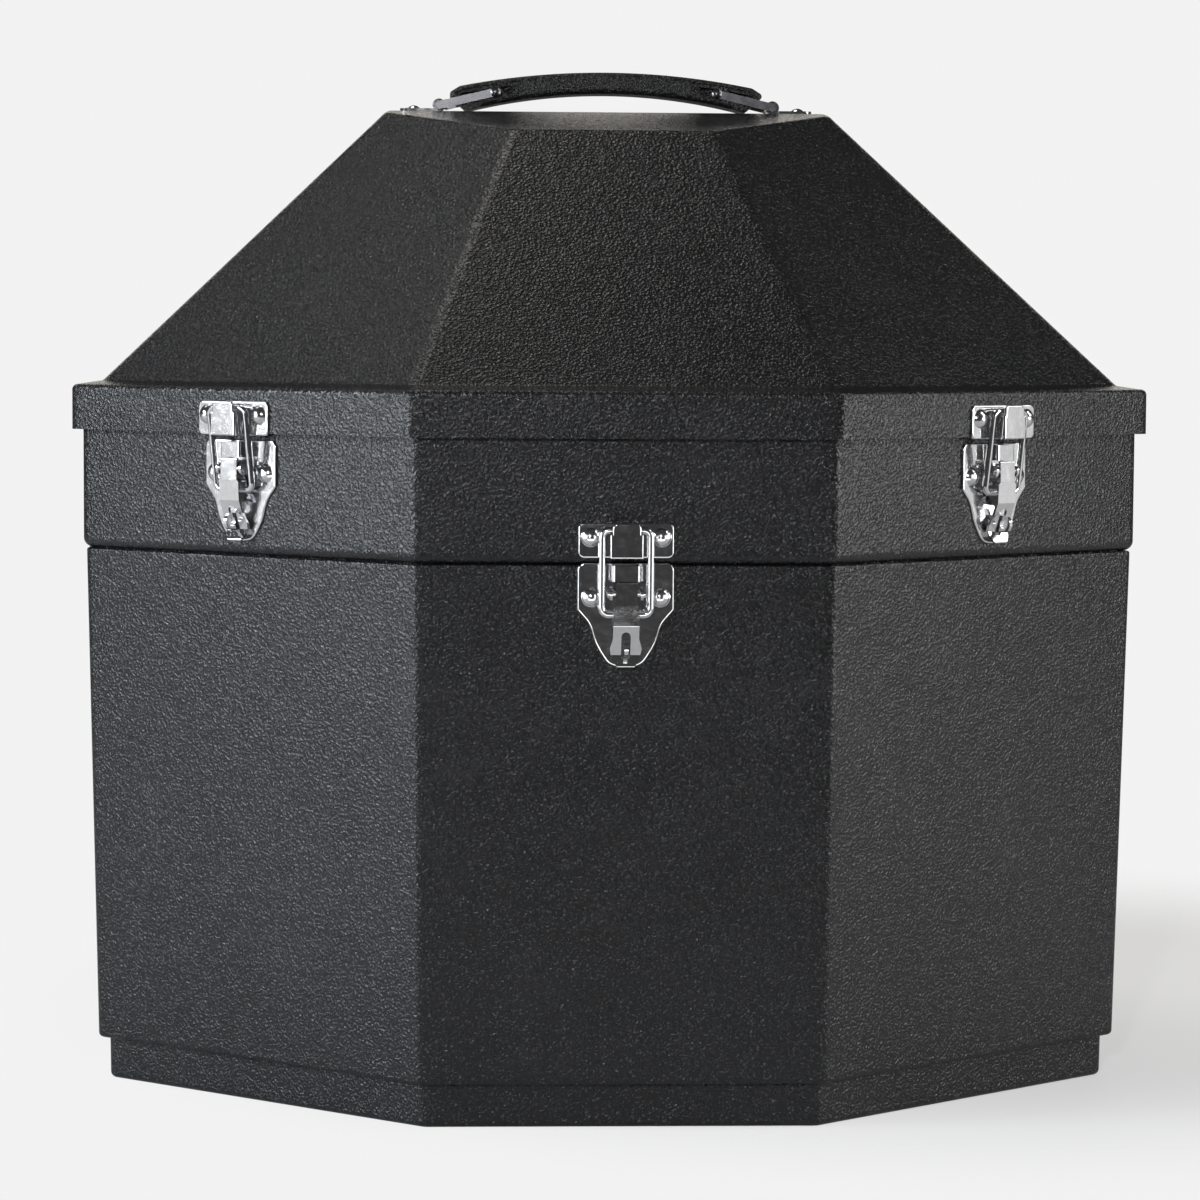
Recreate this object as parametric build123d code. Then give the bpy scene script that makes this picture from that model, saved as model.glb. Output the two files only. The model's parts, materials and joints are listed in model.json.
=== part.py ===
from build123d import *
import os
from math import atan2, cos, degrees, hypot, radians, sin, sqrt, tan

# An octagonal carrying case of black ABS in three thermoformed shells: a deep lower box,
# a shallow tray that stands in its mouth, and a lid shaped as a truncated pyramid.
# Two butt hinges at the back join each pair of shells, and three draw latches close them:
# one on the front facet between box and tray, two on the front diagonals between tray and lid.
# Origin at the centre of the resting face, +Z up, front facet facing -Y, millimetres.

# ---------------------------------------------------------------- driving dimensions
WIDTH = 455.0            # plan of the lower box at its rim, across the side facets
DEPTH = 405.0            # across the front and back facets
FACET = 170.0            # length of the front, back and side facets
WALL = 2.5               # sheet thickness of every shell
EDGE_ROUND = 5.0         # outer radius of the upright edges

PLINTH_HEIGHT = 18.3     # stepped-in foot of the lower box
PLINTH_STEP = 4.7
BOX_TOP = 232.7          # rim of the lower box
BOX_DRAFT = 4.5          # how far each wall leans in from rim to plinth

TRAY_BOTTOM = 214.5      # the tray's own stepped-in foot, down inside the box rim
TRAY_SHOULDER = 233.0    # underside of the step that stands over the box rim
TRAY_TOP = 300.0
TRAY_PROUD = 1.3         # how far the tray stands out past the box rim at the shoulder
TRAY_PROUD_TOP = 1.4
TRAY_FOOT_GAP = 1.3      # between the tray's foot and the inside of the box rim
TRAY_FOOT_DRAFT = 2.0
SHOULDER_ROUND = 4.0

LIP_BOTTOM = 284.0       # the lid's skirt, which hangs outside the tray
LIP_PROUD = 6.0
LIP_ROUND = 2.4
LEDGE = 303.4            # outer edge of the nearly flat ledge between skirt and pyramid
LEDGE_WIDTH = 12.9
PYRAMID_FOOT = 304.9
FOOT_ROUND = 3.0
PYRAMID_ROUND = 7.0
FOOT_HALF_FRONT = 86.3
PYRAMID_LEAN = 1.0137    # how far each face leans in per millimetre of height
FRONT_EDGE_LEAN = 0.3885
CREASE = 414.0           # height where the front face meets the sloping roof
RIDGE = 425.5            # flat strip along X that carries the handle
RIDGE_HALF = 18.0
ROOF_ROUND = 4.0

PLATE = 1.2              # steel of the latch plates
EDGE_ROLL = 0.65         # rounding of their outer edges
SHIELD_LENGTH = 42.4
SHIELD_HALF = 19.6
SHIELD_SIDE = 19.0       # straight part of each long edge
SHIELD_CURVE = [(14.7, -25.2), (12.4, -32.0), (9.0, -38.2)]
SHIELD_CORNER = 3.0
SHIELD_RIVET = (14.0, -13.9)
HUMP_FOOT = 7.3          # half width of the pressed channel where it leaves the shield
HUMP_CROWN = 5.2
HUMP_LENGTH = 6.4
HUMP_TOP = -0.7
HUMP_ROUND = 1.0
EAR_R = 2.6              # ears that carry the lever's pivot
EAR = 1.2
EAR_X = 6.3
EYE_PLACE = (7.2, -34.0)  # padlock eye: distance off the shield's back, height from its top
EYE_R = 3.6
EYE_HOLE_R = 2.0
EYE_THICKNESS = 1.6
EYE_SLOT = (1.7, 7.3)
CATCH_HEIGHT = 14.2
CATCH_HALF = 19.4
CATCH_CORNER = 2.4
CATCH_RIVET = (14.4, 8.5)
TONGUE_HALF = 5.8        # tongue in front of the bail, on two side walls
TONGUE_CORNER = 2.0
TONGUE_GAP = 0.75        # between the hooked bar and the tongue
TONGUE_WALL_X = 6.1
PIVOT = (6.2, -11.9)     # lever pivot: distance off the shield's back, height from its top
BAIL_END = (4.7, -20.6)  # bail pivot in the lever at rest
BAIL_LENGTH = 34.3       # bail pivot to hooked bar
BAIL_HALF = 9.9
BAIL_BEND = 2.9
BAIL_FOOT = 3.35         # half the space between the bail's two ends
WIRE_R = 1.35
HOOK_SLACK = 0.2         # below the hooked bar, taken up as the lever starts to turn
HOOK_SEAT = (4.6, 11.5)  # hooked bar: distance off the catch plate's back, height in the plate
LEVER_HALF = 5.3
LEVER_NECK = 4.4
LEVER_FACE = [(8.4, -8.0), (8.6, -16.6), (8.1, -25.0), (3.3, -37.2), (5.2, -41.6)]   # (off, up)
LEVER_EDGE = [(LEVER_NECK, -7), (LEVER_NECK, -16.2), (LEVER_HALF, -17.4), (LEVER_HALF, -30.5),
              (6.5, -34.5), (5.6, -39.0), (3.2, -42.4)]                             # (half width, up)
LEVER_CHEEK = [(8.0, -8.3), (8.2, -16.6), (7.7, -25.0), (6.0, -26.5), (2.9, -22.6),
               (2.9, -18.6), (4.0, -12.0), (5.4, -8.6)]                             # (off, up)
LEVER_SLOT = (11.4, 3.8)
LEVER_SLOT_UP = -33.3
PIN_R = 1.1
PIN_LENGTH = 14.2
PIN_HEAD_R = 1.7
PIN_HEAD = 0.6
RUNNING_GAP = 0.05

CENTER_LATCH_TOP = 233.5
SIDE_LATCH_TOP = 281.3
SIDE_LATCH_OUTBOARD = 0.8

RIVET_HEAD_R = 4.05
RIVET_HEAD_H = 2.4
RIVET_R = 1.6
HINGE_RIVET_HEAD_R = 2.9
HINGE_RIVET_HEAD_H = 1.4
HOLE_GAP = 0.06
WASHER = 0.5
WASHER_R = 4.2
TAIL_R = 2.8
TAIL_H = 0.8

HINGE_X = 52.0           # hinges stand this far each side of the middle
HINGE_WIDTH = 38.0
KNUCKLE_R = 2.8
HINGE_PIN_R = 1.5
LEAF = 1.4
LEAF_HEIGHT = 18.0
MIDDLE_KNUCKLE = 13.0
KNUCKLE_GAP = 0.3
HINGE_HOLES = 12.0       # rivets each side of a leaf's middle
LOW_LEAF_DROP = 3.7      # top of the lower box's leaf, below the rim
TRAY_LEAF_RISE = 5.2     # foot of the tray's leaf, above the shoulder
LIP_LEAF_DROP = 9.0      # top of the tray's upper leaf, below the lid's skirt
LID_LEAF = (3.4, 16.4)   # foot and top of the lid's leaf, above the skirt's lower edge

LINK_X = 75.3            # pivots of the handle links
LINK_Z = RIDGE + 3.05
LINK_LENGTH = 26.0
LINK_REST = 13.3         # degrees above the lid
LINK_BAR_R = 1.6
LINK_ARM = 1.3
LINK_ARM_HEIGHT = 3.6
GRIP_HALF_WIDTH = 11.0
GRIP_TOP = 443.8
GRIP_UNDER = 434.2
GRIP_TOP_R = 338.0
GRIP_UNDER_R = 253.0
GRIP_HALF_LENGTH = 71.5
GRIP_RECESS = 1.6
GRIP_EDGE = 2.6
GRIP_NOSE = 3.4
GRIP_SHOULDER = 5.5      # the top arc stops this far short of the nose
GRIP_TOE = 8.5           # and the under arc this far
RECESS_BORDER = 1.8
RECESS_MOUTH = [(56.6, 420), (56.6, 430), (61, 433), (85, 433), (85, 420)]   # (x, z) at each end
SLOT_SLOPE = 9.0
SLOT_ENDS = (41.8, 66.3)
SLOT_HALF = 2.0
GRIP_WEB = 6.4           # the slots stop at the grip's core, this far either side of its middle
BRACKET_HALF = 12.0
BRACKET_END = 93.0
BRACKET_PLATE = 1.5
BRACKET_ROLL_HALF = 8.6  # rolled part between the link's arms
BRACKET_NOTCH = 5.2
BRACKET_CORNER = 4.0
BRACKET_RIVET = (11.4, 7.2)
BRACKET_HEAD_R = 3.1
BRACKET_HEAD_H = 1.5
LINK_PIN_HEAD_R = 2.3
LINK_PIN_HEAD_H = 0.9
ARM_GAP = 0.25           # between each arm of a link and the floor of the grip's recess
THROUGH = 30.0           # length of cutters that pass right through a small piece

# ---------------------------------------------------------------- worked out from them
HALF_W, HALF_D, HALF_F = WIDTH / 2, DEPTH / 2, FACET / 2
CUT_SLOPE = (DEPTH - FACET) / (WIDTH - FACET)
CUT_ANGLE = degrees(atan2(CUT_SLOPE, 1))       # diagonal facets against X
DIAGONAL = HALF_F * sin(radians(CUT_ANGLE)) + HALF_D * cos(radians(CUT_ANGLE))
BOX_TILT = degrees(atan2(BOX_DRAFT, BOX_TOP - PLINTH_HEIGHT))
TRAY_TILT = degrees(atan2(TRAY_PROUD_TOP - TRAY_PROUD, TRAY_TOP - TRAY_SHOULDER))

nodes = {}


# How far the outer face of each shell stands out past the box rim at a height.
def box_proud(z):
    return -BOX_DRAFT * (BOX_TOP - z) / (BOX_TOP - PLINTH_HEIGHT)


def tray_proud(z):
    rise = (z - TRAY_SHOULDER) / (TRAY_TOP - TRAY_SHOULDER)
    return TRAY_PROUD + (TRAY_PROUD_TOP - TRAY_PROUD) * rise


def skirt_proud(z):
    return LIP_PROUD


# ---------------------------------------------------------------- shells
def section(z, offset, corner, half_front=None):
    """Rounded octagon at a height, its facets moved outward by offset from the box rim."""
    a = HALF_F + offset * tan(radians(CUT_ANGLE / 2)) if half_front is None else half_front
    b, h = HALF_W + offset, HALF_D + offset
    s = h - (b - a) * CUT_SLOPE
    points = [(a, -h), (b, -s), (b, s), (a, h), (-a, h), (-b, s), (-b, -s), (-a, -h)]
    outline = Polygon(*points, align=None)
    return Pos(0, 0, z) * fillet(outline.vertices(), corner)


def frustum(*levels):
    """Ruled solid through sections given as (z, offset, corner radius[, half front])."""
    return loft([section(*level) for level in levels], ruled=True)


def ring_edges(solid, z, offset):
    """Level edges of a shell at a height, within a millimetre of an offset of the octagon."""
    def close(edge):
        middle = edge.center()
        reach = [abs(middle.X) - HALF_W, abs(middle.Y) - HALF_D]
        cut = abs(middle.X) * sin(radians(CUT_ANGLE)) + abs(middle.Y) * cos(radians(CUT_ANGLE))
        reach.append(cut - DIAGONAL)
        return abs(max(reach) - offset) < 1.5
    level = solid.edges().filter_by(lambda e: e.bounding_box().size.Z < 0.01)
    return level.filter_by(lambda e: abs(e.center().Z - z) < 0.01 and close(e))


def lower_box():
    foot = -BOX_DRAFT - PLINTH_STEP
    body = frustum((PLINTH_HEIGHT, -BOX_DRAFT, EDGE_ROUND), (BOX_TOP, 0, EDGE_ROUND))
    plinth = frustum((0, foot - 0.3, EDGE_ROUND), (PLINTH_HEIGHT + 1, foot, EDGE_ROUND))
    body = fillet(ring_edges(body, PLINTH_HEIGHT, -BOX_DRAFT), 2.0)
    plinth = fillet(ring_edges(plinth, 0, foot - 0.3), 2.5)
    inner_round = EDGE_ROUND - WALL
    cavity_span = (PLINTH_HEIGHT + WALL, BOX_TOP + 1)
    cavity = frustum(*[(z, box_proud(z) - WALL, inner_round) for z in cavity_span])
    well = frustum((WALL, foot - 0.3 - WALL, inner_round),
                   (PLINTH_HEIGHT + WALL + 1, foot - WALL, inner_round))
    shell = body + plinth - cavity - well
    return fillet(ring_edges(shell, BOX_TOP, 0), 1.0)


def tray():
    foot = -WALL - TRAY_FOOT_GAP
    outer_round = EDGE_ROUND + 1
    wall = frustum(*[(z, tray_proud(z), outer_round) for z in (TRAY_SHOULDER, TRAY_TOP)])
    wall = fillet(ring_edges(wall, TRAY_SHOULDER, TRAY_PROUD), SHOULDER_ROUND)
    stand = frustum((TRAY_BOTTOM, foot - TRAY_FOOT_DRAFT, EDGE_ROUND),
                    (TRAY_SHOULDER + 1, foot, EDGE_ROUND))
    stand = fillet(ring_edges(stand, TRAY_BOTTOM, foot - TRAY_FOOT_DRAFT), 2.0)
    inner_round = EDGE_ROUND - WALL
    cavity_span = (TRAY_SHOULDER + WALL, TRAY_TOP + 1)
    cavity = frustum(*[(z, tray_proud(z) - WALL, outer_round - WALL) for z in cavity_span])
    well = frustum((TRAY_BOTTOM + WALL, foot - TRAY_FOOT_DRAFT - WALL, inner_round),
                   (TRAY_SHOULDER + WALL + 1, foot - WALL, inner_round))
    shell = wall + stand - cavity - well
    return fillet(ring_edges(shell, TRAY_TOP, TRAY_PROUD_TOP), 0.8)


def pyramid(inset, bottom, top, corner):
    """The pyramid's eight faces, moved in level by inset, between two heights."""
    levels = []
    for z in (bottom, top):
        rise = z - PYRAMID_FOOT
        offset = LIP_PROUD - LEDGE_WIDTH - PYRAMID_LEAN * rise - inset
        half_front = FOOT_HALF_FRONT - FRONT_EDGE_LEAN * rise - inset * tan(radians(CUT_ANGLE / 2))
        levels.append((z, offset, corner, half_front))
    return frustum(*levels)


def under_roof(drop):
    """Prism along X below the roof: a flat ridge with a slope to each crease."""
    crease_y = HALF_D + LIP_PROUD - LEDGE_WIDTH - PYRAMID_LEAN * (CREASE - PYRAMID_FOOT)
    slope = (RIDGE - CREASE) / (crease_y - RIDGE_HALF)
    far = DEPTH
    eave = RIDGE - slope * (far - RIDGE_HALF)
    outline = [(-far, 0), (-far, eave), (-RIDGE_HALF, RIDGE), (RIDGE_HALF, RIDGE), (far, eave), (far, 0)]
    profile = Plane.YZ * Polygon(*[(y, z - drop) for y, z in outline], align=None)
    return extrude(profile, WIDTH / 2, both=True)


def lid():
    skirt_round = EDGE_ROUND + 2
    skirt = frustum((LIP_BOTTOM, LIP_PROUD, skirt_round), (LEDGE, LIP_PROUD, skirt_round))
    skirt = fillet(ring_edges(skirt, LEDGE, LIP_PROUD), LIP_ROUND)
    ledge = frustum((LEDGE - 0.01, LIP_PROUD - LIP_ROUND - 0.3, skirt_round - 2.0),
                    (PYRAMID_FOOT, LIP_PROUD - LEDGE_WIDTH, PYRAMID_ROUND, FOOT_HALF_FRONT))
    peak = pyramid(0, PYRAMID_FOOT - 1, RIDGE + 10, PYRAMID_ROUND) & under_roof(0)
    peak = fillet(peak.edges().filter_by(lambda e: e.center().Z > CREASE - ROOF_ROUND), ROOF_ROUND)
    outer = skirt + ledge + peak
    foot_edges = outer.edges().filter_by(lambda e: abs(e.center().Z - PYRAMID_FOOT) < 0.3)
    outer = fillet(foot_edges, FOOT_ROUND)
    brim = frustum((LIP_BOTTOM - 1, LIP_PROUD - WALL, skirt_round - WALL),
                   (LEDGE - WALL, LIP_PROUD - WALL, skirt_round - WALL))
    slant = WALL * sqrt(1 + PYRAMID_LEAN ** 2)
    crown = pyramid(slant, LEDGE - WALL - 1, RIDGE + 5, PYRAMID_ROUND - WALL) & under_roof(WALL)
    return outer - brim - crown


# ---------------------------------------------------------------- small shared pieces
def dome(radius, height):
    """Low domed head standing on Z = 0."""
    ball = (radius ** 2 + height ** 2) / (2 * height)
    cap = Pos(0, 0, height - ball) * Sphere(ball)
    return cap & Pos(0, 0, height / 2) * Box(4 * radius, 4 * radius, height)


def rivet(grip, head_r, head_h):
    """Rivet along Z: head above the sheets' face at 0, tail below the washer."""
    shank = Pos(0, 0, -grip / 2) * Cylinder(RIVET_R, grip)
    tail = Pos(0, 0, -grip - TAIL_H / 2) * Cylinder(TAIL_R, TAIL_H)
    return dome(head_r, head_h) + shank + tail


def washer():
    ring = Cylinder(WASHER_R, WASHER) - Cylinder(RIVET_R + HOLE_GAP, WASHER * 2)
    return Pos(0, 0, -WASHER / 2) * ring


def hole(depth=12):
    return Cylinder(RIVET_R + HOLE_GAP, depth)


class Riveted:
    """Rivets and washers of one shell, and the holes that they need in it."""

    def __init__(self):
        self.rivets, self.washers, self.holes = [], [], []

    def add(self, place, plate, head_r=RIVET_HEAD_R, head_h=RIVET_HEAD_H):
        """place: on the plate's outer face, Z outward; plate: thickness under the head."""
        self.rivets.append(place * rivet(plate + WALL + WASHER, head_r, head_h))
        self.washers.append(place * Pos(0, 0, -plate - WALL) * washer())
        self.holes.append(place * hole())


riveted = {name: Riveted() for name in ("lower_box", "tray", "lid")}
OUTWARD = Rot(90, 0, 0)      # turns +Z to the facet's outward direction, -Y


# ---------------------------------------------------------------- draw latches
# A latch is drawn on a facet that faces -Y: X along the facet, Y = -distance off the plate's
# back, Z up from the shield's top edge. (off, up) pairs become points in that plane.
def pressed(outline, depth):
    """Sheet with its outline given as (along, up), from the facet outward by depth."""
    return extrude(Plane.XZ * outline, depth, dir=(0, -1, 0))


def round_front(sheet):
    """Rounds the outer face's edges of a sheet made by pressed."""
    face_y = sheet.bounding_box().min.Y
    return fillet(sheet.edges().filter_by(lambda e: abs(e.center().Y - face_y) < 0.01), EDGE_ROLL)


def across(off, up, radius, length=THROUGH):
    """Round bar along X at a distance off the plate's back and a height."""
    return Pos(0, -off, up) * Rot(0, 90, 0) * Cylinder(radius, length)


def shield():
    right = [(SHIELD_HALF, -SHIELD_SIDE), *SHIELD_CURVE, (0, -SHIELD_LENGTH)]
    edge = Line((0, 0), (SHIELD_HALF, 0)) + Line((SHIELD_HALF, 0), (SHIELD_HALF, -SHIELD_SIDE))
    edge += Spline(*right, tangents=[(-0.75, -1), (-1, 0)])
    outline = make_face(edge + mirror(edge, Plane.YZ))
    corners = outline.vertices().filter_by(lambda v: abs(v.Y) < 0.01)
    body = round_front(pressed(fillet(corners, SHIELD_CORNER), PLATE))
    face = PIVOT[0] + 1.4
    foot, crown, back = HUMP_FOOT - PLATE, HUMP_CROWN - 1.1, face - PLATE
    hump = Polygon((-HUMP_FOOT, 0), (HUMP_FOOT, 0), (HUMP_CROWN, face), (-HUMP_CROWN, face), align=None)
    hump = fillet(hump.vertices().filter_by(lambda v: abs(v.Y - face) < 0.01), HUMP_ROUND)
    hollow = Polygon((-foot, -1), (foot, -1), (crown, back), (-crown, back), align=None)
    channel = mirror(hump - hollow, Plane.XZ)
    body += extrude(Pos(0, 0, HUMP_TOP - HUMP_LENGTH) * channel, HUMP_LENGTH, dir=(0, 0, 1))
    ear = across(*PIVOT, EAR_R, EAR) + Pos(0, -PIVOT[0] / 2, PIVOT[1]) * Box(EAR, PIVOT[0], 2 * EAR_R)
    for side in (-1, 1):
        body += Pos(side * EAR_X, 0, 0) * ear
        body -= Pos(side * SHIELD_RIVET[0], -PLATE, SHIELD_RIVET[1]) * OUTWARD * hole()
    body -= across(*PIVOT, PIN_R)
    slot_width, slot_height = EYE_SLOT
    return body - Pos(0, 0, EYE_PLACE[1]) * Box(slot_width, THROUGH, slot_height)


def staple():
    """Padlock eye: a flat lug through the shield, with a round hole."""
    off, up = EYE_PLACE
    lug = Pos(-off / 2, up) * Rectangle(off, 2 * EYE_R) + Pos(-off, up) * Circle(EYE_R)
    lug -= Pos(-off, up) * Circle(EYE_HOLE_R)
    return extrude(Plane.YZ * lug, EYE_THICKNESS / 2, both=True)


def lever():
    sheet = Polyline(*[(-off, up) for off, up in LEVER_FACE])
    band = make_face(offset(sheet, amount=PLATE / 2, side=Side.BOTH))
    face = extrude(Plane.YZ * (Pos(PLATE / 2, 0) * band), THROUGH, both=True)
    left_edge = [(-x, z) for x, z in reversed(LEVER_EDGE)]
    width = pressed(Polygon(*LEVER_EDGE, *left_edge, align=None), THROUGH)
    cheeks = extrude(Plane.YZ * Polygon(*[(-off, up) for off, up in LEVER_CHEEK], align=None),
                     LEVER_HALF, both=True)
    cheeks -= Pos(0, -4, -20) * Box(2 * (LEVER_NECK - PLATE), 6.8, 40)
    body = (face & width) + (cheeks & width)
    body -= across(*PIVOT, PIN_R + RUNNING_GAP)
    body -= across(*BAIL_END, WIRE_R + RUNNING_GAP)
    slot = Pos(0, LEVER_SLOT_UP) * Rot(0, 0, 90) * SlotOverall(*LEVER_SLOT)
    return body - pressed(slot, THROUGH)


def pivot_pin():
    pin = across(*PIVOT, PIN_R, PIN_LENGTH)
    for side in (-1, 1):
        pin += Pos(side * (PIN_LENGTH + PIN_HEAD) / 2, 0, 0) * across(*PIVOT, PIN_HEAD_R, PIN_HEAD)
    return pin


def catch():
    outline = Pos(0, CATCH_HEIGHT / 2) * RectangleRounded(2 * CATCH_HALF, CATCH_HEIGHT, CATCH_CORNER)
    plate = round_front(pressed(outline, PLATE))
    seat_off, seat_up = HOOK_SEAT
    tongue_back = seat_off + WIRE_R + TONGUE_GAP
    wall_top = seat_up - WIRE_R - HOOK_SLACK
    wall = Box(PLATE, tongue_back + 0.2, wall_top)
    tongue = Pos(0, CATCH_HEIGHT / 2) * RectangleRounded(2 * TONGUE_HALF, CATCH_HEIGHT, TONGUE_CORNER)
    tongue += Pos(0, wall_top / 2) * Rectangle(2 * TONGUE_WALL_X + PLATE, wall_top)
    for side in (-1, 1):
        plate += Pos(side * TONGUE_WALL_X, -(tongue_back + 0.2) / 2, wall_top / 2) * wall
    plate += Pos(0, -tongue_back, 0) * round_front(pressed(tongue, PLATE))
    for side in (-1, 1):
        plate -= Pos(side * CATCH_RIVET[0], -PLATE, CATCH_RIVET[1]) * OUTWARD * hole()
    return plate


def bail(foot, hook):
    """Wire loop from the lever's holes at foot up and round behind the hook's tongue."""
    (y0, z0), (y1, z1) = foot, hook
    leg = hypot(y1 - y0, z1 - z0)
    path = FilletPolyline((-BAIL_FOOT, 0), (-BAIL_HALF, 0), (-BAIL_HALF, leg), (BAIL_HALF, leg),
                          (BAIL_HALF, 0), (BAIL_FOOT, 0), radius=BAIL_BEND)
    start = Plane(origin=path @ 0, z_dir=path % 0)
    wire = sweep(start * Circle(WIRE_R), path)
    lean = degrees(atan2(y1 - y0, z1 - z0))
    return Pos(0, y0, z0) * Rot(90 - lean, 0, 0) * wire


def add_latch(name, facet, top, low, high, holder, keeper):
    """Latch on a facet, top: the shield's height, low and high: (wall, tilt) under each half."""
    (low_wall, low_tilt), (high_wall, high_tilt) = low, high
    shield_place = facet * Pos(0, -low_wall(top), top) * Rot(low_tilt, 0, 0)
    swing = radians(low_tilt)
    foot_y = -low_wall(top) - BAIL_END[0] * cos(swing) - BAIL_END[1] * sin(swing)
    foot_z = top - BAIL_END[0] * sin(swing) + BAIL_END[1] * cos(swing)
    hook_y = -high_wall(top) - HOOK_SEAT[0]
    hook_z = foot_z + sqrt(BAIL_LENGTH ** 2 - (hook_y - foot_y) ** 2)
    catch_z = hook_z - HOOK_SEAT[1]
    catch_place = facet * Pos(0, -high_wall(catch_z), catch_z) * Rot(high_tilt, 0, 0)
    nodes[name + "_shield"] = shield_place * shield()
    nodes[name + "_padlock_eye"] = shield_place * staple()
    nodes[name + "_pivot_pin"] = shield_place * pivot_pin()
    nodes[name + "_lever"] = shield_place * lever()
    nodes[name + "_catch"] = catch_place * catch()
    nodes[name + "_bail"] = facet * bail((foot_y, foot_z), (hook_y, hook_z))
    for side in (-1, 1):
        in_shield = Pos(side * SHIELD_RIVET[0], -PLATE, SHIELD_RIVET[1])
        in_catch = Pos(side * CATCH_RIVET[0], -PLATE, CATCH_RIVET[1])
        riveted[holder].add(shield_place * in_shield * OUTWARD, PLATE)
        riveted[keeper].add(catch_place * in_catch * OUTWARD, PLATE)


front = Pos(0, -HALF_D, 0)
diagonal_middle = ((HALF_F + HALF_W) / 2, -(HALF_D + FACET / 2) / 2)


def diagonal(side):
    """Place on the front diagonal facet of one side, X along the facet, -Y outward."""
    x, y = diagonal_middle
    return Pos(side * x, y, 0) * Rot(0, 0, side * CUT_ANGLE) * Pos(side * SIDE_LATCH_OUTBOARD, 0, 0)


on_box, on_tray, on_skirt = (box_proud, BOX_TILT), (tray_proud, TRAY_TILT), (skirt_proud, 0)
add_latch("center_latch", front, CENTER_LATCH_TOP, on_box, on_tray, "lower_box", "tray")
add_latch("left_latch", diagonal(-1), SIDE_LATCH_TOP, on_tray, on_skirt, "tray", "lid")
add_latch("right_latch", diagonal(1), SIDE_LATCH_TOP, on_tray, on_skirt, "tray", "lid")


# ---------------------------------------------------------------- butt hinges at the back
def leaf(plate, web, axis_y, axis_z, spans, bore):
    """Hinge leaf: a full-width plate, then webs and knuckles over the given X spans."""
    body = extrude(Plane.YZ * Polygon(*plate, align=None), HINGE_WIDTH / 2, both=True)
    for low, high in spans:
        middle, width = (low + high) / 2, high - low
        body += Pos(middle, 0, 0) * extrude(Plane.YZ * Polygon(*web, align=None), width / 2, both=True)
        body += Pos(middle, axis_y, axis_z) * Rot(0, 90, 0) * Cylinder(KNUCKLE_R, width)
    return body - Pos(0, axis_y, axis_z) * Rot(0, 90, 0) * Cylinder(bore, HINGE_WIDTH * 2)


def add_hinges(name, holder, keeper, axis, low, high, low_span, high_span):
    """Two hinges; low, high: (wall, tilt) under each leaf; spans: heights of each plate."""
    (axis_y, axis_z), reach = axis, KNUCKLE_R - 0.6
    (low_wall, low_tilt), (high_wall, high_tilt) = low, high
    (low0, low1), (high0, high1) = low_span, high_span

    def on_wall(wall, z, off):
        return (HALF_D + wall(z) + off, z)

    low_plate = [on_wall(low_wall, low0, 0), on_wall(low_wall, low0, LEAF),
                 on_wall(low_wall, low1, LEAF), on_wall(low_wall, low1, 0)]
    low_web = [on_wall(low_wall, low1, 0), on_wall(low_wall, low1 - 2.6, LEAF),
               (axis_y + 1.3, axis_z - reach), (axis_y - reach, axis_z - 1.3)]
    high_plate = [on_wall(high_wall, high0, 0), on_wall(high_wall, high0, LEAF),
                  on_wall(high_wall, high1, LEAF), on_wall(high_wall, high1, 0)]
    high_web = [on_wall(high_wall, high0, 0), on_wall(high_wall, high0 + 2.0, LEAF),
                (axis_y + 1.3, axis_z + reach), (axis_y - reach, axis_z + 1.3)]
    end, middle = HINGE_WIDTH / 2, MIDDLE_KNUCKLE / 2
    outer = [(-end, -middle - KNUCKLE_GAP), (middle + KNUCKLE_GAP, end)]
    low_leaf = leaf(low_plate, low_web, axis_y, axis_z, outer, HINGE_PIN_R + 0.01)
    high_leaf = leaf(high_plate, high_web, axis_y, axis_z, [(-middle, middle)], HINGE_PIN_R + RUNNING_GAP)
    pin = Pos(0, axis_y, axis_z) * Rot(0, 90, 0) * Cylinder(HINGE_PIN_R, HINGE_WIDTH - 0.4)
    low_z, high_z = (low0 + low1) / 2 - 1, (high0 + high1) / 2 + 0.6
    for dx in (-HINGE_HOLES, HINGE_HOLES):
        at_low = Pos(dx, HALF_D + low_wall(low_z) + LEAF, low_z) * Rot(-90 - low_tilt, 0, 0)
        at_high = Pos(dx, HALF_D + high_wall(high_z) + LEAF, high_z) * Rot(-90 - high_tilt, 0, 0)
        low_leaf -= at_low * hole()
        high_leaf -= at_high * hole()
        for x in (-HINGE_X, HINGE_X):
            riveted[holder].add(Pos(x, 0, 0) * at_low, LEAF, HINGE_RIVET_HEAD_R, HINGE_RIVET_HEAD_H)
            riveted[keeper].add(Pos(x, 0, 0) * at_high, LEAF, HINGE_RIVET_HEAD_R, HINGE_RIVET_HEAD_H)
    for x, word in ((-HINGE_X, "left"), (HINGE_X, "right")):
        nodes[f"{word}_{name}_{holder}_leaf"] = Pos(x, 0, 0) * low_leaf
        nodes[f"{word}_{name}_{keeper}_leaf"] = Pos(x, 0, 0) * high_leaf
        nodes[f"{word}_{name}_pin"] = Pos(x, 0, 0) * pin


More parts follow.
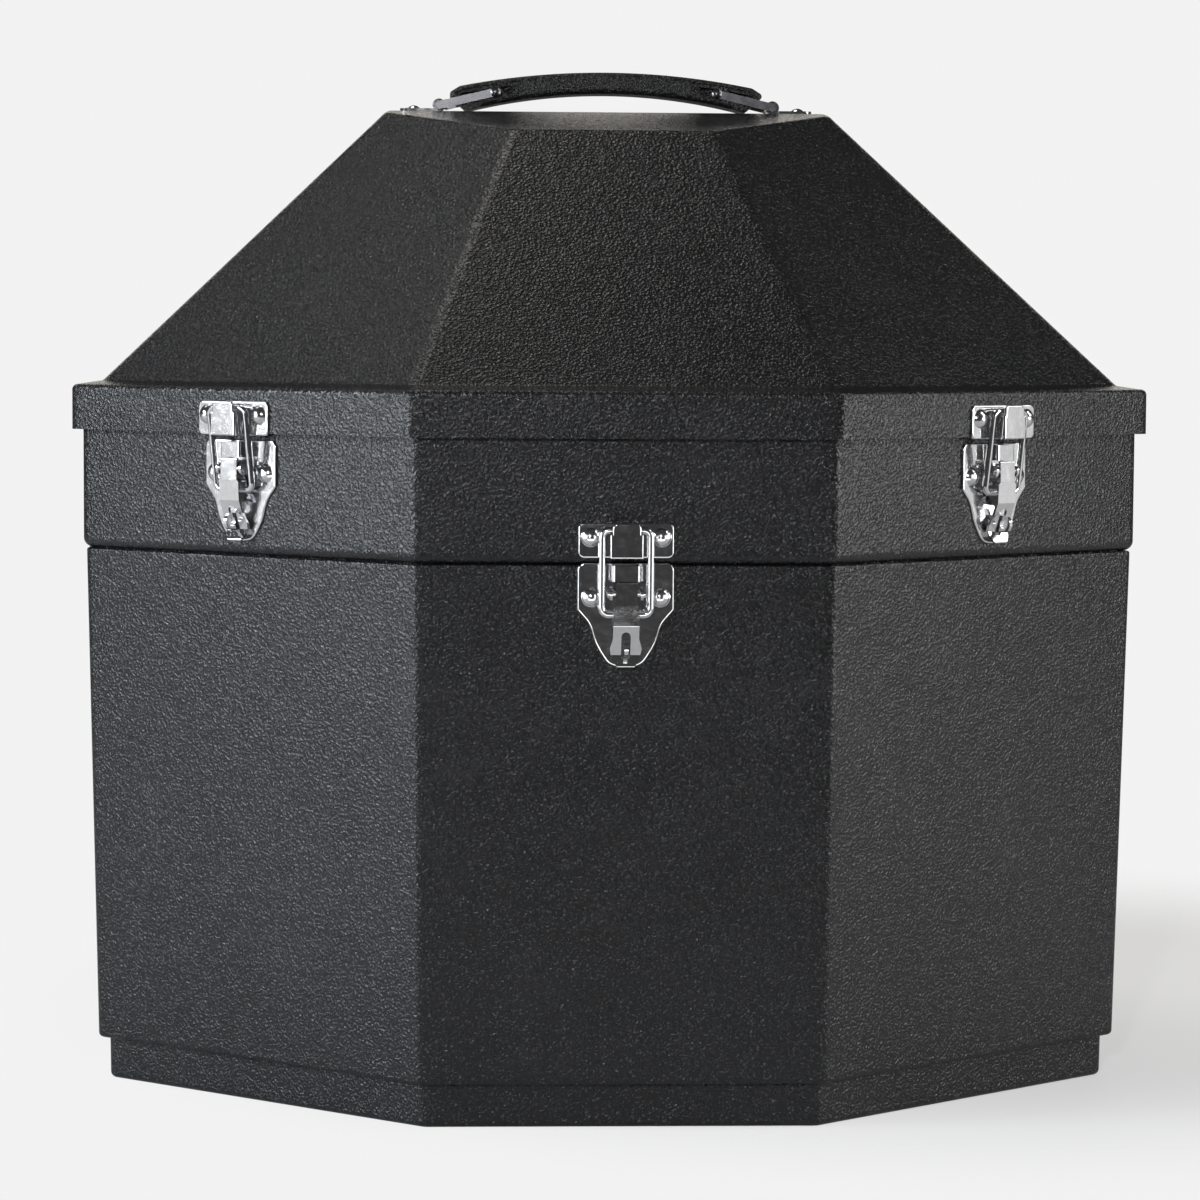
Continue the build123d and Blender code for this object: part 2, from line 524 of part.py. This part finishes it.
axis_out = KNUCKLE_R + 0.3
low_leaf_top = BOX_TOP - LOW_LEAF_DROP
tray_leaf_foot = TRAY_SHOULDER + TRAY_LEAF_RISE
lip_leaf_top = LIP_BOTTOM - LIP_LEAF_DROP
add_hinges("tray_hinge", "lower_box", "tray", (HALF_D + TRAY_PROUD + axis_out, BOX_TOP + 0.1),
           on_box, on_tray, (low_leaf_top - LEAF_HEIGHT, low_leaf_top),
           (tray_leaf_foot, tray_leaf_foot + LEAF_HEIGHT))
add_hinges("lid_hinge", "tray", "lid", (HALF_D + LIP_PROUD + axis_out, LIP_BOTTOM - 0.3),
           on_tray, on_skirt, (lip_leaf_top - LEAF_HEIGHT, lip_leaf_top),
           tuple(LIP_BOTTOM + rise for rise in LID_LEAF))


# ---------------------------------------------------------------- carrying handle
def arc_height(x, crown, radius):
    return crown - radius + sqrt(radius ** 2 - x ** 2)


def grip_profile():
    """Arched outline of the grip in X and Z, with slanting ends."""
    shoulder, toe = GRIP_HALF_LENGTH - GRIP_SHOULDER, GRIP_HALF_LENGTH - GRIP_TOE
    shoulder_z = arc_height(shoulder, GRIP_TOP, GRIP_TOP_R)
    toe_z = arc_height(toe, GRIP_UNDER, GRIP_UNDER_R)
    nose = (GRIP_HALF_LENGTH, shoulder_z - GRIP_NOSE)
    outline = ThreePointArc((-shoulder, shoulder_z), (0, GRIP_TOP), (shoulder, shoulder_z))
    outline += Polyline((shoulder, shoulder_z), nose, (toe, toe_z))
    outline += ThreePointArc((toe, toe_z), (0, GRIP_UNDER), (-toe, toe_z))
    outline += Polyline((-toe, toe_z), (-nose[0], nose[1]), (-shoulder, shoulder_z))
    face = make_face(outline)
    return fillet(face.vertices().filter_by(lambda v: abs(v.X) > 50), 1.6)


def pin_place():
    rest = radians(LINK_REST)
    return LINK_X - LINK_LENGTH * cos(rest), LINK_Z + LINK_LENGTH * sin(rest)


def grip():
    profile = grip_profile()
    body = extrude(Plane.XZ * profile, GRIP_HALF_WIDTH, both=True)
    long_edges = body.edges().filter_by(lambda e: abs(abs(e.center().Y) - GRIP_HALF_WIDTH) < 0.01)
    body = fillet(long_edges, GRIP_EDGE)
    panel = offset(profile, amount=-RECESS_BORDER)
    pin_x, pin_z = pin_place()
    inner, outer = SLOT_ENDS
    slot_middle = (inner + outer) / 2
    slot_z = pin_z - (slot_middle - pin_x) * tan(radians(SLOT_SLOPE))
    for side in (-1, 1):
        reach = Pos(side * (inner - 3 + 50), GRIP_TOP - 20) * Rectangle(100, 60)
        mouth = Polygon(*[(side * x, z) for x, z in RECESS_MOUTH], align=None)
        recess = extrude(Plane.XZ * ((panel & reach) + mouth), GRIP_RECESS, both=True)
        for face in (-1, 1):
            body -= Pos(0, face * GRIP_HALF_WIDTH, 0) * recess
        slot = Rot(0, 0, -side * SLOT_SLOPE) * SlotOverall(outer - inner, 2 * SLOT_HALF)
        slot = Pos(side * slot_middle, slot_z) * slot
        groove = extrude(Plane.XZ * slot, GRIP_HALF_WIDTH + 1, both=True)
        body -= groove - Box(WIDTH, 2 * GRIP_WEB, 3 * GRIP_TOP)
    return body


def link(side):
    """Stirrup: two arms beside the grip's end and a cross bar in the bracket."""
    pin_x, pin_z = pin_place()
    middle = Pos(side * (pin_x + LINK_X) / 2, (pin_z + LINK_Z) / 2)
    arm = middle * Rot(0, 0, -side * LINK_REST) * SlotCenterToCenter(LINK_LENGTH, LINK_ARM_HEIGHT)
    inside = GRIP_HALF_WIDTH - GRIP_RECESS + ARM_GAP
    body = Pos(side * LINK_X, 0, LINK_Z) * Rot(90, 0, 0) * Cylinder(LINK_BAR_R, 2 * inside + 1)
    for face in (-1, 1):
        plate = extrude(Plane.XZ * arm, LINK_ARM / 2, both=True)
        body += Pos(0, face * (inside + LINK_ARM / 2), 0) * plate
    return body - Pos(side * pin_x, 0, pin_z) * Rot(90, 0, 0) * Cylinder(LINK_BAR_R + 0.02, 40)


def link_pin(side, face):
    """Headed stub from one arm of a link into the grip's slot; face is -1 or 1 along Y."""
    pin_x, pin_z = pin_place()
    end = GRIP_HALF_WIDTH - GRIP_RECESS + ARM_GAP + LINK_ARM
    start = GRIP_WEB + 0.3
    stub = Pos(0, 0, (start + end) / 2) * Cylinder(LINK_BAR_R, end - start)
    stub += Pos(0, 0, end) * dome(LINK_PIN_HEAD_R, LINK_PIN_HEAD_H)
    return Pos(side * pin_x, 0, pin_z) * Rot(-90 * face, 0, 0) * stub


def bracket(side):
    """Plate riveted to the lid, rolled up round the link's cross bar."""
    length = BRACKET_END - LINK_X
    outline = Rectangle(length, 2 * BRACKET_HALF)
    outline = fillet(outline.vertices().filter_by(lambda v: v.X > 0), BRACKET_CORNER)
    plate = Pos(LINK_X + length / 2, 0, RIDGE) * extrude(outline, BRACKET_PLATE, dir=(0, 0, 1))
    trim = Pos(LINK_X, 0, RIDGE) * Box(BRACKET_NOTCH, 4 * BRACKET_HALF, 10)
    plate -= trim - Box(WIDTH, 2 * BRACKET_ROLL_HALF, 3 * RIDGE)
    roll = Pos(LINK_X, 0, LINK_Z) * Rot(90, 0, 0) * Cylinder(LINK_Z - RIDGE - 0.02, 2 * BRACKET_ROLL_HALF)
    body = plate + roll
    body -= Pos(LINK_X, 0, LINK_Z) * Rot(90, 0, 0) * Cylinder(LINK_BAR_R + RUNNING_GAP, 60)
    rivet_x, rivet_y = BRACKET_RIVET
    for y in (-rivet_y, rivet_y):
        body -= Pos(LINK_X + rivet_x, y, RIDGE + BRACKET_PLATE) * hole()
    return body if side > 0 else mirror(body, Plane.YZ)


nodes["handle_grip"] = grip()
for side, word in ((-1, "left"), (1, "right")):
    nodes[f"handle_{word}_link"] = link(side)
    nodes[f"handle_{word}_front_pin"] = link_pin(side, -1)
    nodes[f"handle_{word}_back_pin"] = link_pin(side, 1)
    nodes[f"handle_{word}_bracket"] = bracket(side)
    rivet_x, rivet_y = BRACKET_RIVET
    for y in (-rivet_y, rivet_y):
        place = Pos(side * (LINK_X + rivet_x), y, RIDGE + BRACKET_PLATE)
        riveted["lid"].add(place, BRACKET_PLATE, BRACKET_HEAD_R, BRACKET_HEAD_H)

# ---------------------------------------------------------------- shells with their rivet holes
shells = {"lower_box": lower_box(), "tray": tray(), "lid": lid()}
for name, shell in shells.items():
    nodes[name + "_shell"] = shell - riveted[name].holes
    nodes[name + "_rivets"] = Compound(riveted[name].rivets)
    nodes[name + "_washers"] = Compound(riveted[name].washers)

os.makedirs("parts", exist_ok=True)
for name, solid in nodes.items():
    export_step(solid, f"parts/{name}.step")
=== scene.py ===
import json
from math import cos, radians, sin

import bpy
from mathutils import Matrix, Vector


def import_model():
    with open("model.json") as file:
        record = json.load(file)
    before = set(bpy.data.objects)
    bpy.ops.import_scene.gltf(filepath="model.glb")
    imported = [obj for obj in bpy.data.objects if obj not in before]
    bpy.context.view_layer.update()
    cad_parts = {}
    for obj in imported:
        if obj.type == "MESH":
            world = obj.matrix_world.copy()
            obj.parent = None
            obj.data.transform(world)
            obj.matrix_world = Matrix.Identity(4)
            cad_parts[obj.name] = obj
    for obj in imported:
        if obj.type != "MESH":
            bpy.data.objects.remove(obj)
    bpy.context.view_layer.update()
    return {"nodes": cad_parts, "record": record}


# Materials, studio and camera for the octagonal carrying case. Metres, +Z up, front facing -Y.
# Every piece of the case is a CAD node as it was loaded, given a material and, on the levers,
# a rolled edge. The floor is the only other mesh.
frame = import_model()
scene = bpy.context.scene

SENSOR = 36              # millimetres, as the lens
FAR = 100                # camera clipping distance
BACKDROP = 0.89          # brightness of the backdrop as the camera sees it
AMBIENT = 0.04           # and as it lights the case
WHITE = (1, 1, 1)
COOL = (0.88, 0.94, 1.0)
WARM = (1.0, 0.96, 0.88)
SUN_WARM = (1.0, 0.97, 0.9)
FAINT_COOL = (0.97, 0.97, 1.0)


# ---------------------------------------------------------------- camera
def look(position, yaw, pitch, roll, lens):
    """Camera at position; yaw turns it towards +X, pitch tips it down, roll lifts its right side."""
    forward = Vector((sin(yaw) * cos(pitch), cos(yaw) * cos(pitch), -sin(pitch)))
    flat_right = forward.cross(Vector((0, 0, 1))).normalized()
    flat_up = flat_right.cross(forward)
    right = flat_right * cos(roll) + flat_up * sin(roll)
    up = flat_up * cos(roll) - flat_right * sin(roll)
    data = bpy.data.cameras.new("camera")
    data.lens, data.sensor_width, data.clip_end = lens, SENSOR, FAR
    camera = bpy.data.objects.new("camera", data)
    scene.collection.objects.link(camera)
    turn = Matrix((right, up, -forward)).transposed().to_4x4()
    camera.matrix_world = Matrix.Translation(position) @ turn
    scene.camera = camera


look(Vector((-0.08405, -1.7938, 0.3262)), radians(2.65), radians(3.87), radians(0.34), 118.04)


# ---------------------------------------------------------------- studio
def area_light(name, place, aim, size, power, color=WHITE):
    """Rectangular light of a size in metres and a power in watts; the camera doesn't see it."""
    data = bpy.data.lights.new(name, "AREA")
    data.shape, data.size, data.size_y = "RECTANGLE", size[0], size[1]
    data.energy, data.color = power, color
    light = bpy.data.objects.new(name, data)
    scene.collection.objects.link(light)
    light.location, light.visible_camera = place, False
    light.rotation_euler = (Vector(aim) - Vector(place)).to_track_quat("-Z", "Y").to_euler()
    return light


def world(seen, lighting):
    """Pale backdrop of brightness seen; the object is lit by it at the lower brightness lighting."""
    made = bpy.data.worlds.new("studio")
    made.use_nodes = True
    tree = made.node_tree
    tree.nodes.clear()
    out = tree.nodes.new("ShaderNodeOutputWorld")
    mix = tree.nodes.new("ShaderNodeMixShader")
    path = tree.nodes.new("ShaderNodeLightPath")
    for index, strength in ((1, lighting), (2, seen)):
        background = tree.nodes.new("ShaderNodeBackground")
        background.inputs["Color"].default_value = (1, 1, 1, 1)
        background.inputs["Strength"].default_value = strength
        tree.links.new(background.outputs[0], mix.inputs[index])
    tree.links.new(path.outputs["Is Camera Ray"], mix.inputs[0])
    tree.links.new(mix.outputs[0], out.inputs["Surface"])
    scene.world = made


def only_on(light, names):
    """Keeps a light on the named nodes alone."""
    group = bpy.data.collections.new(light.name)
    for name in names:
        group.objects.link(frame["nodes"][name])
    light.light_linking.receiver_collection = group


def latch(name):
    pieces = ("shield", "catch", "lever", "bail", "padlock_eye", "pivot_pin")
    return [f"{name}_latch_{piece}" for piece in pieces]


scene.view_settings.view_transform = "Standard"
world(BACKDROP, AMBIENT)

# Name, place, aimed at, size, power, colour. The side lights are what the diagonal facets
# mirror; the front facet mirrors the dark side of the studio behind the camera.
LIGHTS = (
    ("left_soft", (-1.5, -0.8, 0.3), (-0.15, -0.15, 0.3), (0.7, 0.22), 8.6, COOL),
    ("right_soft", (1.7, -0.75, 0.34), (0.15, -0.1, 0.33), (0.7, 0.3), 8.4, WHITE),
    ("left_lip", (-1.4, -0.45, 0.7), (-0.15, -0.15, 0.3), (0.5, 0.2), 9, COOL),
    ("right_lip", (1.4, -0.25, 0.85), (0.15, -0.15, 0.3), (0.5, 0.25), 3, WHITE),
    ("top_soft", (-0.35, 0.4, 2.0), (0, 0, 0.3), (0.6, 0.6), 5, SUN_WARM),
    ("top_left", (-1.0, 0.45, 1.6), (0, 0, 0.35), (0.4, 0.4), 0.9, WHITE),
    ("top_right", (1.4, -0.3, 1.6), (0, 0, 0.35), (0.5, 0.5), 5, WHITE),
    ("back_soft", (0.0, 2.4, 0.9), (0, 0, 0.4), (2.6, 1.0), 11, WARM),
    ("front_spark", (-0.35, -2.3, 0.82), (0, -0.2, 0.2), (0.1, 0.1), 11, FAINT_COOL),
)
for light_settings in LIGHTS:
    area_light(*light_settings)

# Panels for the metal alone: the centre latch with the rivets of box and tray get bright rims,
# and the plates of the two side latches an even sheen.
center_pieces = latch("center") + ["tray_rivets", "lower_box_rivets"]
for side, word in ((-1, "left"), (1, "right")):
    rim = area_light(word + "_rim", (side * 0.95, -0.65, 0.22), (0, -0.2, 0.22), (1.3, 0.8), 5)
    only_on(rim, center_pieces)
    panel_place, panel_aim = (side * 1.5, -0.5, 0.24), (side * 0.16, -0.15, 0.26)
    panel = area_light(word + "_plates", panel_place, panel_aim, (1.0, 0.7), 1.3)
    only_on(panel, latch(word))
lower_rim = area_light("lower_rim", (0, -0.55, 0.02), (0, -0.2, 0.22), (0.5, 0.16), 0.7)
only_on(lower_rim, center_pieces)


# ---------------------------------------------------------------- node helpers
class Tree:
    """Short-hand for building one material's nodes."""

    def __init__(self, name):
        self.material = bpy.data.materials.new(name)
        self.material.use_nodes = True
        self.nodes, self.links = self.material.node_tree.nodes, self.material.node_tree.links
        self.shader = self.nodes["Principled BSDF"]
        self.output = self.nodes["Material Output"]
        self.place = self.new("ShaderNodeTexCoord").outputs["Object"]

    def new(self, kind, **settings):
        node = self.nodes.new(kind)
        for key, value in settings.items():
            setattr(node, key, value)
        return node

    def feed(self, node, name, value):
        """Links an output to an input, or sets the input's value."""
        socket = node.inputs[name]
        if isinstance(value, bpy.types.NodeSocket):
            self.links.new(value, socket)
        else:
            socket.default_value = value

    def noise(self, scale, detail=3, rough=0.5, vector=None):
        node = self.new("ShaderNodeTexNoise")
        self.feed(node, "Vector", vector or self.place)
        node.inputs["Scale"].default_value = scale
        node.inputs["Detail"].default_value = detail
        node.inputs["Roughness"].default_value = rough
        return node.outputs["Fac"]

    def cells(self, scale, feature="SMOOTH_F1", vector=None):
        node = self.new("ShaderNodeTexVoronoi", feature=feature)
        self.feed(node, "Vector", vector or self.place)
        node.inputs["Scale"].default_value = scale
        return node.outputs["Distance"]

    def math(self, kind, a, b=0.0, clamp=False):
        node = self.new("ShaderNodeMath", operation=kind, use_clamp=clamp)
        self.feed(node, 0, a)
        self.feed(node, 1, b)
        return node.outputs[0]

    def remap(self, value, from_low, from_high, to_low, to_high, smooth=False):
        kind = "SMOOTHSTEP" if smooth else "LINEAR"
        node = self.new("ShaderNodeMapRange", interpolation_type=kind)
        for name, item in (("Value", value), ("From Min", from_low), ("From Max", from_high),
                           ("To Min", to_low), ("To Max", to_high)):
            self.feed(node, name, item)
        return node.outputs["Result"]

    def blend(self, fac, a, b):
        node = self.new("ShaderNodeMix", data_type="RGBA")
        self.feed(node, "Factor", fac)
        for slot, value in ((6, a), (7, b)):
            if isinstance(value, bpy.types.NodeSocket):
                self.links.new(value, node.inputs[slot])
            else:
                node.inputs[slot].default_value = (*value, 1)
        return node.outputs[2]

    def bump(self, height, distance, strength=1.0, normal=None):
        node = self.new("ShaderNodeBump")
        node.inputs["Strength"].default_value = strength
        node.inputs["Distance"].default_value = distance
        self.feed(node, "Height", height)
        if normal:
            self.feed(node, "Normal", normal)
        return node.outputs["Normal"]

    def finish(self, **inputs):
        for name, value in inputs.items():
            name = name.replace("_", " ")
            if name == "Base Color" and not isinstance(value, bpy.types.NodeSocket):
                value = (*value, 1)
            self.feed(self.shader, name, value)
        return self.material


# ---------------------------------------------------------------- materials
def haircell_plastic(name, dark, light, grain, depth, rough):
    """Black moulded sheet with an irregular raised grain of the given cell size in metres, and
    painted glints in its colour.
    """
    t = Tree(name)
    warp = t.new("ShaderNodeTexNoise")
    t.feed(warp, "Vector", t.place)
    warp.inputs["Scale"].default_value = 0.9 / grain
    bent = t.new("ShaderNodeVectorMath", operation="MULTIPLY_ADD")
    t.links.new(warp.outputs["Color"], bent.inputs[0])
    bent.inputs[1].default_value = (grain * 0.9,) * 3
    t.links.new(t.place, bent.inputs[2])
    pebbles = t.cells(1 / grain, vector=bent.outputs[0])
    crests = t.remap(pebbles, 0.1, 0.62, 1.0, 0.0, smooth=True)
    fine = t.noise(3.2 / grain, 2)
    height = t.math("ADD", crests, t.math("MULTIPLY", fine, 0.35))
    normal = t.bump(height, depth)
    patch = t.noise(7, 4, 0.6)
    scuff = t.remap(t.noise(22, 6, 0.7), 0.55, 0.75, 0, 1)
    shade = t.math("MULTIPLY", crests, t.remap(patch, 0.3, 0.7, 0.35, 1.0))
    color = t.blend(shade, dark, light)
    # Painted highlight: a few grain cells get a bright speck painted into the base colour, standing
    # in for glints of light off the grain.
    painted_glint = t.new("ShaderNodeTexVoronoi", feature="F1")
    t.feed(painted_glint, "Vector", bent.outputs[0])
    painted_glint.inputs["Scale"].default_value = 0.8 / grain
    chosen = t.new("ShaderNodeSeparateColor")
    t.links.new(painted_glint.outputs["Color"], chosen.inputs[0])
    painted_spark = t.math("MULTIPLY", t.remap(chosen.outputs[0], 0.78, 0.95, 0, 1),
                   t.remap(painted_glint.outputs["Distance"], 0.15, 0.5, 1, 0, smooth=True))
    color = t.blend(t.math("MULTIPLY", painted_spark, 0.6), color, tuple(5 * v for v in light))
    color = t.blend(t.math("MULTIPLY", scuff, 0.18), color, tuple(3 * v for v in light))
    gloss = t.math("ADD", t.remap(patch, 0.3, 0.7, rough - 0.03, rough + 0.04),
                   t.math("MULTIPLY", crests, -0.1))
    return t.finish(Base_Color=color, Roughness=gloss, Normal=normal, Specular_IOR_Level=0.5)


def plated(name, color, rough, ripple):
    """Bright plated steel: faint buffing ripple, smears and fine scratches."""
    t = Tree(name)
    smear = t.noise(260, 5, 0.65)
    speck = t.remap(t.noise(2400, 2), 0.62, 0.72, 0, 1)
    gloss = t.math("ADD", t.remap(smear, 0.35, 0.7, rough, rough + 0.1),
                   t.math("MULTIPLY", speck, 0.12))
    tone = t.blend(t.remap(smear, 0.3, 0.75, 0, 1), color, tuple(v * 0.86 for v in color))
    normal = t.bump(t.noise(120, 2), ripple)
    return t.finish(Base_Color=tone, Metallic=1.0, Roughness=gloss, Normal=normal)


GRAIN = 0.0011           # size of one grain cell
shell = haircell_plastic("black_abs", (0.009, 0.009, 0.0095), (0.021, 0.021, 0.023),
                         GRAIN, 0.0002, 0.25)
grip = haircell_plastic("grip_vinyl", (0.006, 0.006, 0.006), (0.02, 0.02, 0.02),
                        GRAIN, 0.0003, 0.36)
nickel = plated("latch_nickel", (0.82, 0.82, 0.83), 0.07, 0.00006)
wire = plated("wire_nickel", (0.8, 0.8, 0.81), 0.1, 0.00003)
rivets = plated("rivet_nickel", (0.78, 0.78, 0.79), 0.13, 0.00004)
hinge = plated("hinge_nickel", (0.74, 0.74, 0.75), 0.17, 0.00006)
dark_steel = plated("dark_steel", (0.2, 0.2, 0.21), 0.24, 0.00005)
washers = plated("washer_steel", (0.6, 0.6, 0.61), 0.35, 0.00005)
FINISHES = {"shell_plastic": shell, "grip_plastic": grip, "latch_nickel": nickel, "wire_nickel": wire,
            "rivet_nickel": rivets, "hinge_nickel": hinge, "bracket_nickel": nickel,
            "link_steel": dark_steel, "washer_steel": washers}
EDGE_ROLL = 0.00035
EDGE_SEGMENTS = 3
SHARP = radians(38)      # edges that turn more than this are rolled

for part in frame["record"]["subparts"]:
    piece = frame["nodes"][part["node"]]
    for material_slot in piece.material_slots:
        material_slot.material = FINISHES[part["material_slot"]]
    if part["node"].endswith("_lever"):
        rolled = piece.modifiers.new("rolled_edges", "BEVEL")
        rolled.width, rolled.segments, rolled.limit_method = EDGE_ROLL, EDGE_SEGMENTS, "ANGLE"
        rolled.angle_limit, rolled.use_clamp_overlap = SHARP, False


# ---------------------------------------------------------------- floor
REACH = 6                # floor to each side and behind
FRONT = -0.85            # it ends here, so that the latches mirror the dark and not the floor
FADE_CENTER = (0.2, 0.14, 0)
FADE = (0.2, 0.5)        # distances from there over which the camera's floor becomes backdrop
GLOW = (0.06, 0.4)       # added light of the floor: off the camera's rays, and on them


def floor():
    """Pale floor that fades into the backdrop away from the object."""
    mesh = bpy.data.meshes.new("floor")
    corners = [(-REACH, FRONT, 0), (REACH, FRONT, 0), (REACH, REACH, 0), (-REACH, REACH, 0)]
    mesh.from_pydata(corners, [], [(0, 1, 2, 3)])
    plane = bpy.data.objects.new("floor", mesh)
    scene.collection.objects.link(plane)
    t = Tree("floor")
    away = t.new("ShaderNodeVectorMath", operation="DISTANCE")
    t.links.new(t.place, away.inputs[0])
    away.inputs[1].default_value = FADE_CENTER
    fade = t.remap(away.outputs["Value"], *FADE, 1, 0, smooth=True)
    clear = t.new("ShaderNodeBsdfTransparent")
    glow = t.new("ShaderNodeEmission")
    path = t.new("ShaderNodeLightPath")
    t.feed(glow, "Strength", t.remap(path.outputs["Is Camera Ray"], 0, 1, *GLOW))
    solid = t.math("MAXIMUM", fade, t.math("SUBTRACT", 1.0, path.outputs["Is Camera Ray"]))
    lit = t.new("ShaderNodeAddShader")
    mix = t.new("ShaderNodeMixShader")
    t.links.new(t.shader.outputs[0], lit.inputs[0])
    t.links.new(glow.outputs[0], lit.inputs[1])
    t.links.new(solid, mix.inputs[0])
    t.links.new(clear.outputs[0], mix.inputs[1])
    t.links.new(lit.outputs[0], mix.inputs[2])
    t.links.new(mix.outputs[0], t.output.inputs["Surface"])
    tint = t.blend(t.noise(60, 3), (0.58, 0.58, 0.58), (0.6, 0.6, 0.6))
    mesh.materials.append(t.finish(Base_Color=tint, Roughness=0.8))


floor()
